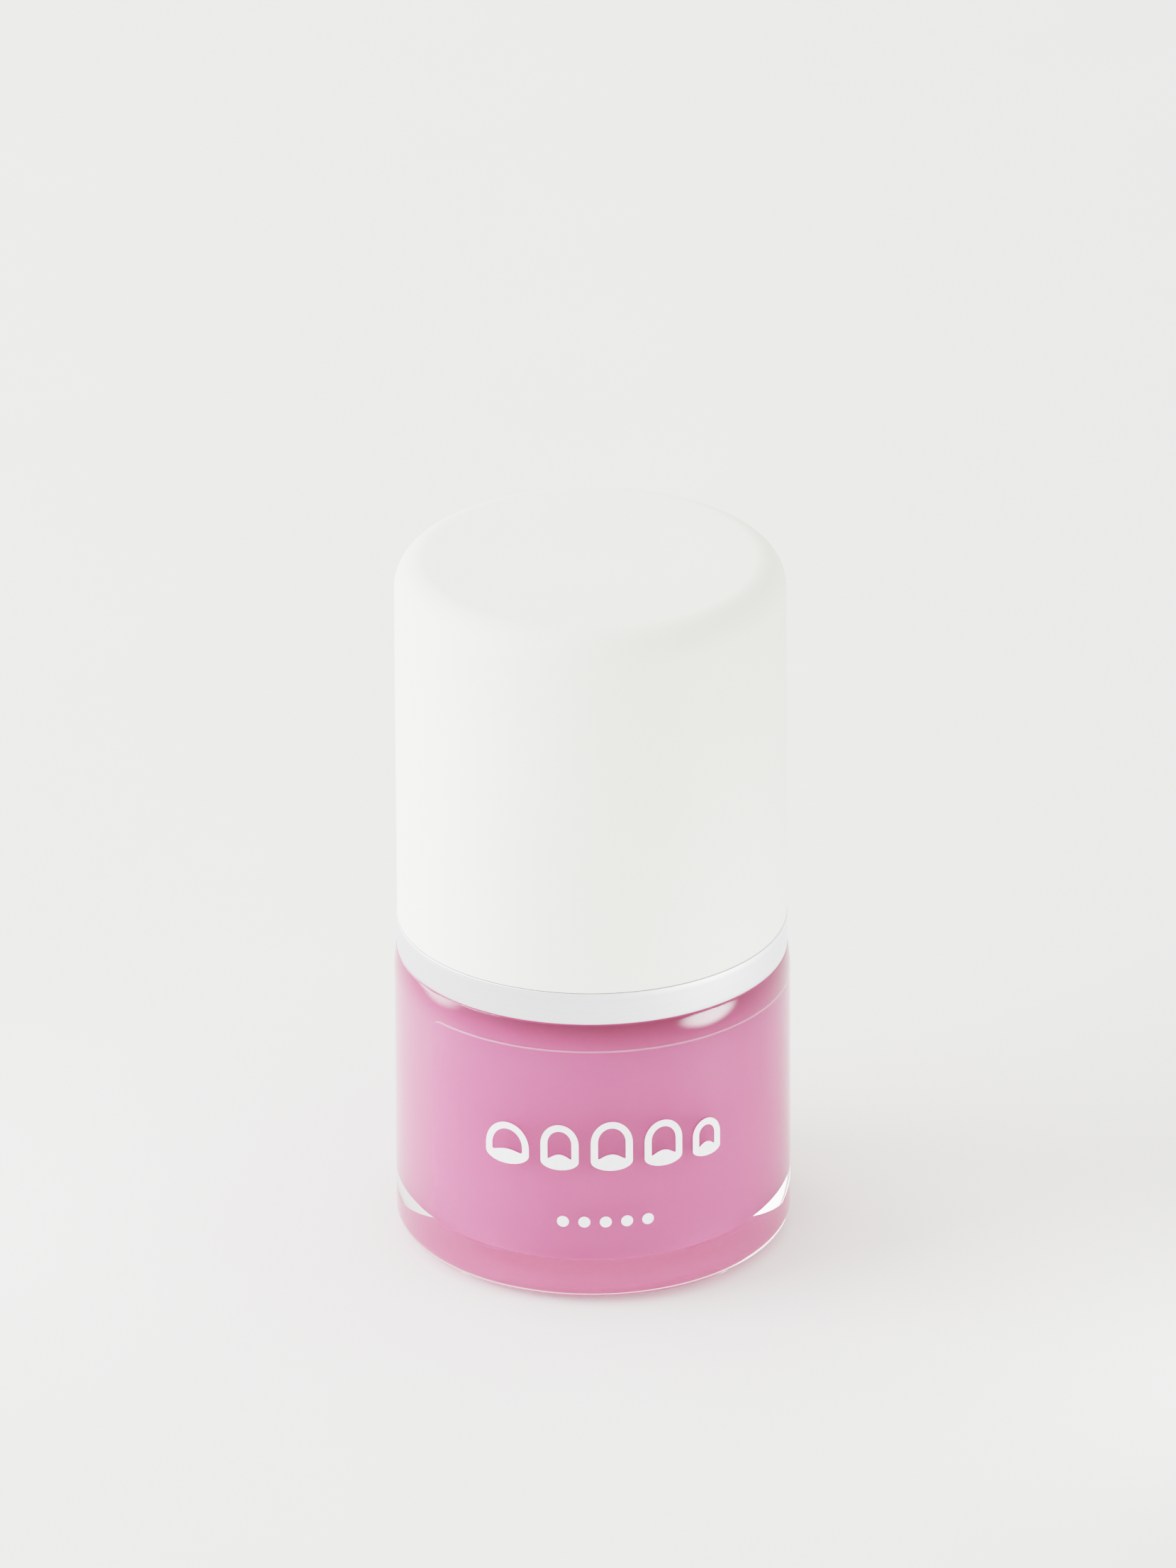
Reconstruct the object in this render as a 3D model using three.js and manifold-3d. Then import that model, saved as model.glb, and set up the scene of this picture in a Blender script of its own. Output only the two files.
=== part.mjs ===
// A nail polish bottle: a thick-walled glass jar with a screw neck, filled with polish, and closed by a
// tall cylindrical cap that carries the brush. Millimetres, +Z up. The origin is the middle of the base,
// on the surface that the bottle stands on, and every round part turns about the Z axis.

import * as THREE from "three";
import { mergeVertices } from "three/addons/utils/BufferGeometryUtils.js";
import Module from "manifold-3d";

const wasm = await Module();
wasm.setup();

// ---------------------------------------------------------------- driving dimensions

const TOTAL_HEIGHT = 51.6;
const BOTTLE_R = 14.0;
const CAP_R = 13.75;
const SHOULDER_TOP_Z = 21.85;
const BAND_HEIGHT = 2.3;
const FIT_GAP = 0.1; // between pieces that are stacked or pressed together
const ROUND_SEGMENTS = 48;

// Glass: outside
const FOOT_HEIGHT = 0.2; // how far the knurled foot bars stand below the base
const FOOT_R = 11.5;
const FOOT_BARS = 36;
const HEEL_R = 1.6;
const PUSH_UP = 0.7; // hollow under the base, at the middle
const SHOULDER_FOOT_Z = 20.0; // where the straight wall turns into the shoulder
const SHOULDER_ARC_R = 7.0;

// Glass: inside
const WALL = 1.6;
const FLOOR_Z = 1.7;
const FLOOR_CROWN = 0.4;
const FLOOR_CORNER_R = 5.5;
const CEILING_Z = 20.2;
const CEILING_CORNER_R = 3.4;

// Film label: a clear sheet round the front and the right of the jar. Angles are from the front (-Y).
const LABEL_FOOT_Z = 3.7;
const LABEL_TOP_Z = 20.0;
const LABEL_START_DEG = -52.5;
const LABEL_END_DEG = 165;
const LABEL_THICK = 0.1;
const LABEL_GAP = 0.02;
const LABEL_CORNER_R = 1.0;

// Neck: a 13 mm screw finish
const NECK_ROOT_R = 5.75;
const NECK_BORE_R = 3.6;
const NECK_TOP_Z = 33.4;
const THREAD_LEAD = 2.117;
const NECK_THREAD = { z: 27.2, turns: 1.5, rootR: NECK_ROOT_R, crestR: 6.45, rootW: 1.3, crestW: 0.5 };

// Inner cap: the screw closure inside the shell, with the socket for the brush
const CLOSURE_R = 7.9;
const CLOSURE_BORE_R = 6.75;
const CLOSURE_FOOT_Z = 22.9;
const CLOSURE_PLATE = 1.4;
const CLOSURE_RIBS = 12;
const CAP_THREAD = {
  z: NECK_THREAD.z - THREAD_LEAD / 2,
  turns: 1.25,
  rootR: CLOSURE_BORE_R,
  crestR: 5.95,
  rootW: 1.0,
  crestW: 0.4,
};
const SOCKET_R = 3.6;
const SOCKET_DEPTH = 5.1;

// Seal liner: the washer between the glass rim and the closure
const LINER_THICK = 0.9;
const LINER_R = 5.85;
const LINER_HOLE_R = 2.35;

// Outer cap: the soft-touch shell
const SHELL_WALL = 1.6;
const SHELL_TOP_EDGE_R = 2.2;
const SHELL_FOOT_EDGE_R = 0.15;
const SLEEVE_WALL = 1.0; // the inner sleeve that grips the closure
const SHELL_RIBS = 6;

// Collar ring: the silver band below the shell, with a spigot that stands up inside it
const RING_R = 13.8;
const RING_EDGE = 0.12;
const SPIGOT_HEIGHT = 3.6;
const SPIGOT_WALL = 0.7;

// Brush
const STEM_PLUG_R = 2.1;
const STEM_R = 1.55;
const STEM_FOOT_Z = 12.8;
const TUFT_TIP_Z = 3.4;
const TUFT_R = 1.9;
const TUFT_ROOT_R = 1.05;
const TUFT_HOLE_R = 1.2;
const TUFT_HOLE_DEPTH = 3.0;
const STAPLE = { width: 2.1, thick: 0.3, height: 1.5 };

// Polish and the two mixing balls that roll on the floor of the jar
const POLISH_GAP = 0.2;
const BRUSH_CHANNEL_R = 3.1;
const BALL_R = 2.0;
const BALL_ORBIT_R = 6.9; // the lowest ring of the floor, between its crown and its corner
const BALL_LIFT = 0.17;
const BALL_ANGLES_DEG = [60, 240];
const BALL_TRACK_MARGIN = 0.5;

// ---------------------------------------------------------------- worked-out places

const cavityR = BOTTLE_R - WALL;
const ringFootZ = SHOULDER_TOP_Z + FIT_GAP;
const shellFootZ = ringFootZ + BAND_HEIGHT + FIT_GAP;
const linerZ = NECK_TOP_Z + FIT_GAP;
const plateZ = linerZ + LINER_THICK + FIT_GAP;
const socketTopZ = plateZ + SOCKET_DEPTH;
const shellInnerR = CAP_R - SHELL_WALL;
const shellCeilingZ = TOTAL_HEIGHT - SHELL_WALL;

// ---------------------------------------------------------------- helpers

const radians = THREE.MathUtils.degToRad;

// Points of a circular arc in the (radius, height) plane.
function arc(centreR, centreZ, radius, fromDeg, toDeg, steps) {
  const points = [];
  for (let i = 0; i <= steps; i += 1) {
    const angle = radians(fromDeg + ((toDeg - fromDeg) * i) / steps);
    points.push([centreR + radius * Math.cos(angle), centreZ + radius * Math.sin(angle)]);
  }
  return points;
}

// A three.js geometry as a manifold-3d solid: shared vertices merged, flat slivers at the poles dropped.
function toSolid(geometry) {
  const bare = geometry.clone();
  bare.deleteAttribute("normal");
  bare.deleteAttribute("uv");
  const merged = mergeVertices(bare, 1e-4);
  const index = merged.index.array;
  const triangles = [];
  for (let i = 0; i < index.length; i += 3) {
    const [a, b, c] = [index[i], index[i + 1], index[i + 2]];
    if (a !== b && b !== c && c !== a) {
      triangles.push(a, b, c);
    }
  }
  return new wasm.Manifold(
    new wasm.Mesh({
      numProp: 3,
      vertProperties: new Float32Array(merged.attributes.position.array),
      triVerts: new Uint32Array(triangles),
    }),
  );
}

function toGeometry(solid) {
  const mesh = solid.getMesh();
  const geometry = new THREE.BufferGeometry();
  geometry.setAttribute("position", new THREE.BufferAttribute(mesh.vertProperties, 3));
  geometry.setIndex(new THREE.BufferAttribute(mesh.triVerts, 1));
  geometry.computeVertexNormals();
  return geometry;
}

// A solid of revolution about Z from [radius, height] points, listed with the material on their left.
function turned(points, segments = ROUND_SEGMENTS) {
  const profile = points.map(([radius, height]) => new THREE.Vector2(radius, height));
  return toSolid(new THREE.LatheGeometry(profile, segments).rotateX(Math.PI / 2));
}

function box(width, depth, height, x, y, z) {
  return toSolid(new THREE.BoxGeometry(width, depth, height).translate(x, y, z));
}

// A base solid with evenly spaced copies of a piece added to it, each turned about Z.
function addAround(base, piece, count) {
  let result = base;
  for (let i = 0; i < count; i += 1) {
    result = result.add(piece.rotate([0, 0, (360 * i) / count]));
  }
  return result;
}

// A right-hand screw thread as one solid: a trapezoid carried along a helix, fading out at both ends.
// The root is sunk a little into the wall that carries it, so that the two join cleanly.
function threadRidge({ z, turns, rootR, crestR, rootW, crestW }) {
  const stepsPerTurn = 30;
  const fadeSteps = 3;
  const sink = Math.sign(rootR - crestR) * 0.2;
  const steps = Math.round(stepsPerTurn * turns);
  const positions = [];
  for (let i = 0; i <= steps; i += 1) {
    const angle = (2 * Math.PI * i) / stepsPerTurn;
    const midZ = z + (THREAD_LEAD * i) / stepsPerTurn;
    const fade = Math.min(1, (i + 0.3) / fadeSteps, (steps - i + 0.3) / fadeSteps);
    const crest = rootR + (crestR - rootR) * fade;
    const section = [
      [rootR + sink, midZ - rootW / 2],
      [crest, midZ - crestW / 2],
      [crest, midZ + crestW / 2],
      [rootR + sink, midZ + rootW / 2],
    ];
    for (const [radius, height] of section) {
      positions.push(radius * Math.cos(angle), radius * Math.sin(angle), height);
    }
  }
  const triangles = [];
  for (let i = 0; i < steps; i += 1) {
    for (let k = 0; k < 4; k += 1) {
      const a = 4 * i + k;
      const b = 4 * i + ((k + 1) % 4);
      triangles.push(a, b + 4, b, a, a + 4, b + 4);
    }
  }
  const last = 4 * steps;
  triangles.push(0, 1, 2, 0, 2, 3);
  triangles.push(last, last + 2, last + 1, last, last + 3, last + 2);
  if (crestR < rootR) {
    triangles.reverse();
  }
  const geometry = new THREE.BufferGeometry();
  geometry.setAttribute("position", new THREE.Float32BufferAttribute(positions, 3));
  geometry.setIndex(triangles);
  return toSolid(geometry);
}

// ---------------------------------------------------------------- the glass jar and what is in it

function glassBottle() {
  const heelCentreR = BOTTLE_R - HEEL_R;
  const shoulderSweep = THREE.MathUtils.radToDeg(
    Math.asin((SHOULDER_TOP_Z - 0.2 - SHOULDER_FOOT_Z) / SHOULDER_ARC_R),
  );
  const outside = [
    [0, FOOT_HEIGHT + PUSH_UP],
    [FOOT_R - 4.0, FOOT_HEIGHT + 0.6 * PUSH_UP],
    [FOOT_R - 1.0, FOOT_HEIGHT],
    ...arc(heelCentreR, FOOT_HEIGHT + HEEL_R, HEEL_R, -90, 0, 6),
    ...arc(BOTTLE_R - SHOULDER_ARC_R, SHOULDER_FOOT_Z, SHOULDER_ARC_R, 0, shoulderSweep, 3),
    [BOTTLE_R - 0.65, SHOULDER_TOP_Z],
    [NECK_ROOT_R + 1.4, SHOULDER_TOP_Z + 0.3],
    [NECK_ROOT_R + 0.4, SHOULDER_TOP_Z + 0.7],
    [NECK_ROOT_R, SHOULDER_TOP_Z + 1.5],
    [NECK_ROOT_R + 0.5, SHOULDER_TOP_Z + 2.1],
    [NECK_ROOT_R + 0.5, SHOULDER_TOP_Z + 2.7],
    [NECK_ROOT_R, SHOULDER_TOP_Z + 3.2],
  ];
  const rim = [
    ...arc(NECK_ROOT_R - 0.5, NECK_TOP_Z - 0.5, 0.5, 0, 90, 3),
    ...arc(NECK_BORE_R + 0.5, NECK_TOP_Z - 0.5, 0.5, 90, 180, 3),
  ];
  const inside = [
    ...arc(NECK_BORE_R + 1.6, CEILING_Z + 1.6, 1.6, 180, 270, 4),
    ...arc(cavityR - CEILING_CORNER_R, CEILING_Z - CEILING_CORNER_R, CEILING_CORNER_R, 90, 0, 5),
    ...arc(cavityR - FLOOR_CORNER_R, FLOOR_Z + FLOOR_CORNER_R, FLOOR_CORNER_R, 0, -90, 5),
    [0, FLOOR_Z + FLOOR_CROWN],
  ];
  const jar = turned([...outside, ...rim, ...inside]).add(threadRidge(NECK_THREAD));
  const bar = box(1.5, 0.7, 2 * FOOT_HEIGHT, FOOT_R, 0, FOOT_HEIGHT);
  return addAround(jar, bar, FOOT_BARS);
}

// The polish fills the jar but for the channel that the brush stands in and the track of the balls.
function polishFill() {
  const outerR = cavityR - POLISH_GAP;
  const topZ = CEILING_Z - POLISH_GAP;
  const topCorner = CEILING_CORNER_R - POLISH_GAP;
  const floorEdgeR = cavityR - FLOOR_CORNER_R;
  const floorCorner = FLOOR_CORNER_R - POLISH_GAP;
  const trackInnerR = BALL_ORBIT_R - BALL_R - BALL_TRACK_MARGIN;
  const trackOuterR = BALL_ORBIT_R + BALL_R + BALL_TRACK_MARGIN;
  const trackTopZ = FLOOR_Z + BALL_LIFT + 2 * BALL_R + BALL_TRACK_MARGIN;
  const trackFloorZ = FLOOR_Z + FLOOR_CROWN * (1 - trackInnerR / floorEdgeR) + POLISH_GAP;
  const channelFootZ = FLOOR_Z + FLOOR_CROWN + 3 * POLISH_GAP;
  const startDeg = -THREE.MathUtils.radToDeg(Math.acos((trackOuterR - floorEdgeR) / floorCorner));
  return turned([
    [0, FLOOR_Z + FLOOR_CROWN + POLISH_GAP],
    [trackInnerR, trackFloorZ],
    [trackInnerR, trackTopZ],
    [trackOuterR, trackTopZ],
    ...arc(floorEdgeR, FLOOR_Z + FLOOR_CORNER_R, floorCorner, startDeg, 0, 5),
    ...arc(outerR - topCorner, topZ - topCorner, topCorner, 0, 90, 4),
    [BRUSH_CHANNEL_R, topZ],
    [BRUSH_CHANNEL_R, channelFootZ],
    [0, channelFootZ],
  ]);
}

// A thin sheet bent round the jar in upright columns, with its four corners rounded off.
function filmLabel() {
  const cornerDeg = THREE.MathUtils.radToDeg(LABEL_CORNER_R / BOTTLE_R);
  const cornerSteps = [0, 0.15, 0.5, 1];
  const angles = [
    ...cornerSteps.map((step) => LABEL_START_DEG + step * cornerDeg),
    ...cornerSteps.map((step) => LABEL_END_DEG - step * cornerDeg).reverse(),
  ];
  const facetDeg = 360 / ROUND_SEGMENTS;
  for (let angle = LABEL_START_DEG + facetDeg; angle < LABEL_END_DEG; angle += facetDeg) {
    angles.push(angle);
  }
  angles.sort((a, b) => a - b);
  const positions = [];
  for (const angle of angles) {
    const fromEnd = Math.min(angle - LABEL_START_DEG, LABEL_END_DEG - angle);
    const short = Math.max(0, 1 - fromEnd / cornerDeg);
    const cut = LABEL_CORNER_R * (1 - Math.sqrt(1 - short * short));
    const along = radians(angle - 90);
    for (const radius of [BOTTLE_R + LABEL_GAP, BOTTLE_R + LABEL_GAP + LABEL_THICK]) {
      for (const height of [LABEL_FOOT_Z + cut, LABEL_TOP_Z - cut]) {
        positions.push(radius * Math.cos(along), radius * Math.sin(along), height);
      }
    }
  }
  const [innerLow, innerHigh, outerLow, outerHigh] = [0, 1, 2, 3];
  const around = [innerLow, innerHigh, outerHigh, outerLow];
  const triangles = [];
  for (let i = 0; i < angles.length - 1; i += 1) {
    for (let k = 0; k < 4; k += 1) {
      const a = 4 * i + around[k];
      const b = 4 * i + around[(k + 1) % 4];
      triangles.push(a, b, b + 4, a, b + 4, a + 4);
    }
  }
  const last = 4 * (angles.length - 1);
  triangles.push(innerLow, outerLow, outerHigh, innerLow, outerHigh, innerHigh);
  triangles.push(last + innerLow, last + outerHigh, last + outerLow);
  triangles.push(last + innerLow, last + innerHigh, last + outerHigh);
  const geometry = new THREE.BufferGeometry();
  geometry.setAttribute("position", new THREE.Float32BufferAttribute(positions, 3));
  geometry.setIndex(triangles);
  return toSolid(geometry);
}

function mixingBall() {
  return toSolid(new THREE.IcosahedronGeometry(BALL_R, 3));
}

// ---------------------------------------------------------------- the closure

function innerCap() {
  const sleeveTopZ = plateZ + CLOSURE_PLATE;
  const body = turned([
    [CLOSURE_BORE_R, CLOSURE_FOOT_Z],
    [CLOSURE_R, CLOSURE_FOOT_Z],
    [CLOSURE_R, sleeveTopZ - 0.5],
    [CLOSURE_R - 0.5, sleeveTopZ],
    [SOCKET_R, sleeveTopZ],
    [SOCKET_R, socketTopZ + 0.6],
    [SOCKET_R - 0.6, socketTopZ + CLOSURE_PLATE],
    [0, socketTopZ + CLOSURE_PLATE],
    [0, socketTopZ],
    [STEM_PLUG_R + FIT_GAP, socketTopZ],
    [STEM_PLUG_R + FIT_GAP, plateZ],
    [CLOSURE_BORE_R, plateZ],
    [CLOSURE_BORE_R, CLOSURE_FOOT_Z],
  ]);
  const ribHeight = sleeveTopZ - CLOSURE_FOOT_Z - 3;
  const rib = box(0.5, 0.8, ribHeight, CLOSURE_R, 0, CLOSURE_FOOT_Z + 1.5 + ribHeight / 2);
  return addAround(body.add(threadRidge(CAP_THREAD)), rib, CLOSURE_RIBS);
}

function sealLiner() {
  return turned([
    [LINER_HOLE_R, linerZ],
    [LINER_R, linerZ],
    [LINER_R, linerZ + LINER_THICK],
    [LINER_HOLE_R, linerZ + LINER_THICK],
    [LINER_HOLE_R, linerZ],
  ]);
}

function outerCap() {
  const sleeveInnerR = CLOSURE_R + 0.5;
  const sleeveOuterR = sleeveInnerR + SLEEVE_WALL;
  const edgeR = SHELL_TOP_EDGE_R;
  const footR = SHELL_FOOT_EDGE_R;
  const shell = turned([
    [shellInnerR, shellFootZ],
    ...arc(CAP_R - footR, shellFootZ + footR, footR, -90, 0, 3),
    ...arc(CAP_R - edgeR, TOTAL_HEIGHT - edgeR, edgeR, 0, 90, 7),
    [0, TOTAL_HEIGHT],
    [0, shellCeilingZ],
    [sleeveInnerR, shellCeilingZ],
    [sleeveInnerR, shellFootZ + 0.6],
    [sleeveOuterR, shellFootZ + 0.6],
    [sleeveOuterR, shellCeilingZ],
    [shellInnerR - 1, shellCeilingZ],
    [shellInnerR, shellCeilingZ - 1],
    [shellInnerR, shellFootZ],
  ]);
  const ribFootZ = shellFootZ + SPIGOT_HEIGHT + 1.5;
  const ribHeight = shellCeilingZ + 0.5 - ribFootZ;
  const ribDepth = shellInnerR - sleeveOuterR + 1;
  const rib = box(ribDepth, 1, ribHeight, (shellInnerR + sleeveOuterR) / 2, 0, ribFootZ + ribHeight / 2);
  return addAround(shell, rib, SHELL_RIBS);
}

function collarRing() {
  const spigotR = shellInnerR - FIT_GAP;
  const topZ = ringFootZ + BAND_HEIGHT;
  return turned([
    [spigotR - SPIGOT_WALL, ringFootZ],
    [RING_R - RING_EDGE, ringFootZ],
    [RING_R, ringFootZ + RING_EDGE],
    [RING_R, topZ - RING_EDGE],
    [RING_R - RING_EDGE, topZ],
    [spigotR, topZ],
    [spigotR, topZ + SPIGOT_HEIGHT - 0.3],
    [spigotR - 0.3, topZ + SPIGOT_HEIGHT],
    [spigotR - SPIGOT_WALL, topZ + SPIGOT_HEIGHT],
    [spigotR - SPIGOT_WALL, ringFootZ],
  ]);
}

// ---------------------------------------------------------------- the brush

function brushStem() {
  const holeTopZ = STEM_FOOT_Z + TUFT_HOLE_DEPTH;
  return turned(
    [
      [TUFT_HOLE_R, STEM_FOOT_Z],
      [STEM_R + 0.1, STEM_FOOT_Z],
      [STEM_R + 0.2, STEM_FOOT_Z + 0.5],
      [STEM_R + 0.2, STEM_FOOT_Z + 3.2],
      [STEM_R, STEM_FOOT_Z + 4.2],
      [STEM_R, NECK_TOP_Z - 2.5],
      [STEM_PLUG_R, NECK_TOP_Z - 1.0],
      [STEM_PLUG_R, socketTopZ - FIT_GAP - 0.4],
      [STEM_PLUG_R - 0.4, socketTopZ - FIT_GAP],
      [0, socketTopZ - FIT_GAP],
      [0, holeTopZ],
      [TUFT_HOLE_R, holeTopZ],
      [TUFT_HOLE_R, STEM_FOOT_Z],
    ],
    30,
  );
}

// The bundle of filaments as one solid: its root is folded over the staple inside the stem.
function bristleTuft() {
  const rootTopZ = STEM_FOOT_Z + TUFT_HOLE_DEPTH - 0.3;
  const belly = TUFT_TIP_Z + 0.25 * (STEM_FOOT_Z - TUFT_TIP_Z);
  const bundle = turned(
    [
      [0, TUFT_TIP_Z],
      [0.6 * TUFT_R, TUFT_TIP_Z + 0.2],
      [0.92 * TUFT_R, TUFT_TIP_Z + 0.9],
      [TUFT_R, belly],
      [0.72 * TUFT_R, STEM_FOOT_Z - 1.0],
      [TUFT_ROOT_R, STEM_FOOT_Z - FIT_GAP],
      [TUFT_ROOT_R, rootTopZ],
      [0, rootTopZ],
    ],
    30,
  );
  const slotDepth = STAPLE.height + 0.3;
  return bundle.subtract(box(4, STAPLE.thick + 0.3, 2 * slotDepth, 0, 0, rootTopZ));
}

function bristleStaple() {
  const topZ = STEM_FOOT_Z + TUFT_HOLE_DEPTH - 0.3;
  return box(STAPLE.width, STAPLE.thick, STAPLE.height, 0, 0, topZ - STAPLE.height / 2);
}

// ---------------------------------------------------------------- assembly

const FINISHES = {
  glass: { color: 0xf4f8f8, roughness: 0.02, metalness: 0, transparent: true, opacity: 0.3 },
  film: { color: 0xfdf6fa, roughness: 0.1, metalness: 0, transparent: true, opacity: 0.15 },
  polish: { color: 0xd283ac, roughness: 0.2, metalness: 0 },
  steel: { color: 0xc4c6c8, roughness: 0.2, metalness: 1 },
  softTouch: { color: 0xf1efe8, roughness: 0.6, metalness: 0 },
  silver: { color: 0xdfe1e5, roughness: 0.25, metalness: 1 },
  whitePlastic: { color: 0xf2f2ef, roughness: 0.4, metalness: 0 },
  foam: { color: 0xe9e7e0, roughness: 0.9, metalness: 0 },
  filament: { color: 0xe6dcd6, roughness: 0.5, metalness: 0 },
};

function addPiece(group, name, solid, finish) {
  const mesh = new THREE.Mesh(toGeometry(solid), new THREE.MeshStandardMaterial(FINISHES[finish]));
  mesh.name = name;
  group.add(mesh);
  return mesh;
}

const bottle = new THREE.Group();
addPiece(bottle, "glass_bottle", glassBottle(), "glass");
addPiece(bottle, "film_label", filmLabel(), "film");
addPiece(bottle, "polish_fill", polishFill(), "polish");
BALL_ANGLES_DEG.forEach((angle, i) => {
  const ball = addPiece(bottle, `mixing_ball_${i + 1}`, mixingBall(), "steel");
  const along = radians(angle);
  const height = FLOOR_Z + BALL_R + BALL_LIFT;
  ball.position.set(BALL_ORBIT_R * Math.cos(along), BALL_ORBIT_R * Math.sin(along), height);
});

const closure = new THREE.Group();
addPiece(closure, "outer_cap", outerCap(), "softTouch");
addPiece(closure, "inner_cap", innerCap(), "whitePlastic");
addPiece(closure, "collar_ring", collarRing(), "silver");
addPiece(closure, "seal_liner", sealLiner(), "foam");
addPiece(closure, "brush_stem", brushStem(), "whitePlastic");
addPiece(closure, "bristle_tuft", bristleTuft(), "filament");
addPiece(closure, "bristle_staple", bristleStaple(), "steel");

const nailPolishBottle = new THREE.Group();
nailPolishBottle.add(bottle, closure);

export default nailPolishBottle;
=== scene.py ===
"""Looks of a nail polish bottle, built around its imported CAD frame.

Profiles are drawn in millimetres, as [radius, height] points about the Z axis, and meshes are made in
metres. Every round piece is turned from such a profile. The bottle stands at the origin, and its
printed side looks along -Y.
"""
import math
import random

import bmesh
import bpy
from mathutils import Matrix, Vector


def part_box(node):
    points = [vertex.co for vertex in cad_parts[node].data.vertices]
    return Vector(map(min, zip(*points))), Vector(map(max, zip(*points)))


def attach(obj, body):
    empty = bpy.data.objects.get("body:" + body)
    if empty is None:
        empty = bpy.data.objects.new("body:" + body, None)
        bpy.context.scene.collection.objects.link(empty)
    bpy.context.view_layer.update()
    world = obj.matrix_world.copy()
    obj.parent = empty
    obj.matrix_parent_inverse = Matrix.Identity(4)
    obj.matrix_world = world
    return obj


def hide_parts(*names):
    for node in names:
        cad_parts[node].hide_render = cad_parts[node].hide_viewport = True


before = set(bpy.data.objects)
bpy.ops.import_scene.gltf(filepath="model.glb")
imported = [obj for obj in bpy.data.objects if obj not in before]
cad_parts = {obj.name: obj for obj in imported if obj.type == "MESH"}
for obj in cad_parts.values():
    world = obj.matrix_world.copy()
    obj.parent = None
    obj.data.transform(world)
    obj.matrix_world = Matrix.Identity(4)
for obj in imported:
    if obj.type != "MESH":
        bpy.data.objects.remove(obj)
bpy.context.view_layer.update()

MM = 0.001
SEED = 7


def frame_box(node):
    """Lowest and highest corner of a CAD node, in millimetres."""
    low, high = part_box(node)
    return low / MM, high / MM


# ---------------------------------------------------------------- sizes, from the frame where it has them

glass_high = frame_box("glass_bottle")[1]
shell_low, shell_high = frame_box("outer_cap")
ring_low, ring_high = frame_box("collar_ring")
closure_low, closure_high = frame_box("inner_cap")
liner_low, liner_high = frame_box("seal_liner")
label_low, label_high = frame_box("film_label")
stem_low, stem_high = frame_box("brush_stem")
tuft_low, tuft_high = frame_box("bristle_tuft")

BOTTLE_R = glass_high.x
NECK_TOP = glass_high.z
SHELL_R = shell_high.x
SHELL_FOOT = shell_low.z
SHELL_TOP = shell_high.z
RING_R = ring_high.x
RING_FOOT = ring_low.z

# Glass; every length here is in millimetres
WALL = 1.6
FOOT_HEIGHT = 0.2
FOOT_R = 11.5
FOOT_BARS = 36
FOOT_BAR_REACH = 0.9  # from the middle of a bar to its end
HEEL_R = 1.6
PUSH_UP = 0.7
SHOULDER_FOOT = 20.0
SHOULDER_ARC_R = 9.5
SHOULDER_EDGE_R = 0.12
SHOULDER_TOP = RING_FOOT - 0.03
FLOOR = 1.5
FLOOR_CROWN = 0.4
FLOOR_CORNER_R = 6.4
CEILING = 20.2
CEILING_CORNER_R = 3.4
NECK_MOUTH_R = 1.6  # rounding where the cavity opens into the neck
NECK_ROOT_R = 5.75
NECK_BORE_R = 3.6
THREAD_LEAD = 2.117
THREAD_DEPTH = 0.7
THREAD_ROOT_W = 1.3
THREAD_CREST_W = 0.5
NECK_THREAD_Z = 27.2
NECK_THREAD_TURNS = 1.5
CAVITY_R = BOTTLE_R - WALL

# Polish
WETTING = 0.02  # how far it reaches into the glass, so that no air lies between
POLISH_RISE = 1.4  # how far it stands up into the neck
PAINTED_SHADE_DEPTH = 1.7  # depth of the painted shade: a darker layer under the ceiling, standing in for the collar's shadow

# Film label: angles are from the front, positive to the right
LABEL_START_DEG = -53.5
LABEL_END_DEG = 165
LABEL_CORNER_R = 1.0
LABEL_GAP = 0.02
LABEL_LIFT = 0.10
LABEL_BEVEL = 0.1

# Printed motif
NAIL_WIDTHS = (3.3, 2.7, 2.95, 2.8, 2.3)
NAIL_HEIGHTS = (3.2, 3.5, 3.8, 3.55, 2.9)
NAIL_GAP = 0.85
NAIL_ROOT_Z = 10.7
STROKE = 0.5
DOTS = 5
DOT_R = 0.42
DOT_PITCH = 1.5
DOT_Z = 6.7
MOTIF_MIDDLE = 0.85  # its middle lies this far right of the front

# Closure, shell, ring and washer
CLOSURE_R = 7.9
CLOSURE_BORE_R = 6.75
CLOSURE_PLATE = 1.4
CAP_THREAD_TURNS = 1.25
CAP_THREAD_DEPTH = 0.8
CAP_THREAD_ROOT_W = 1.0
CAP_THREAD_CREST_W = 0.4
GRIP_RIBS = 12
GRIP_RIB_HEIGHT = 0.25
SOCKET_R = 3.6
SHELL_WALL = 1.6
SHELL_TOP_EDGE_R = 2.2
SHELL_FOOT_EDGE_R = 0.07
SHELL_RIBS = 6
SPIGOT_WALL = 0.7
RING_EDGE_R = 0.06
RING_TOP = SHELL_FOOT - 0.015
LINER_HOLE_R = 2.35

# Brush
STEM_R = 1.55
STEM_PLUG_R = 2.1
TUFT_HOLE_R = 1.2
TUFT_R = 1.9
FILAMENTS = 260

ROUND = 360  # columns of the large turned pieces


# ---------------------------------------------------------------- mesh helpers

def arc(centre_r, centre_z, radius, start, end, steps):
    """Points of a circular arc in the (radius, height) plane, angles in degrees."""
    angles = [math.radians(start + (end - start) * i / steps) for i in range(steps + 1)]
    return [(centre_r + radius * math.cos(a), centre_z + radius * math.sin(a)) for a in angles]


def rise(r_a, z_a, r_b, z_b, steps):
    """Evenly spaced points from a up to, but without, b."""
    return [(r_a + (r_b - r_a) * i / steps, z_a + (z_b - z_a) * i / steps) for i in range(steps)]


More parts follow.
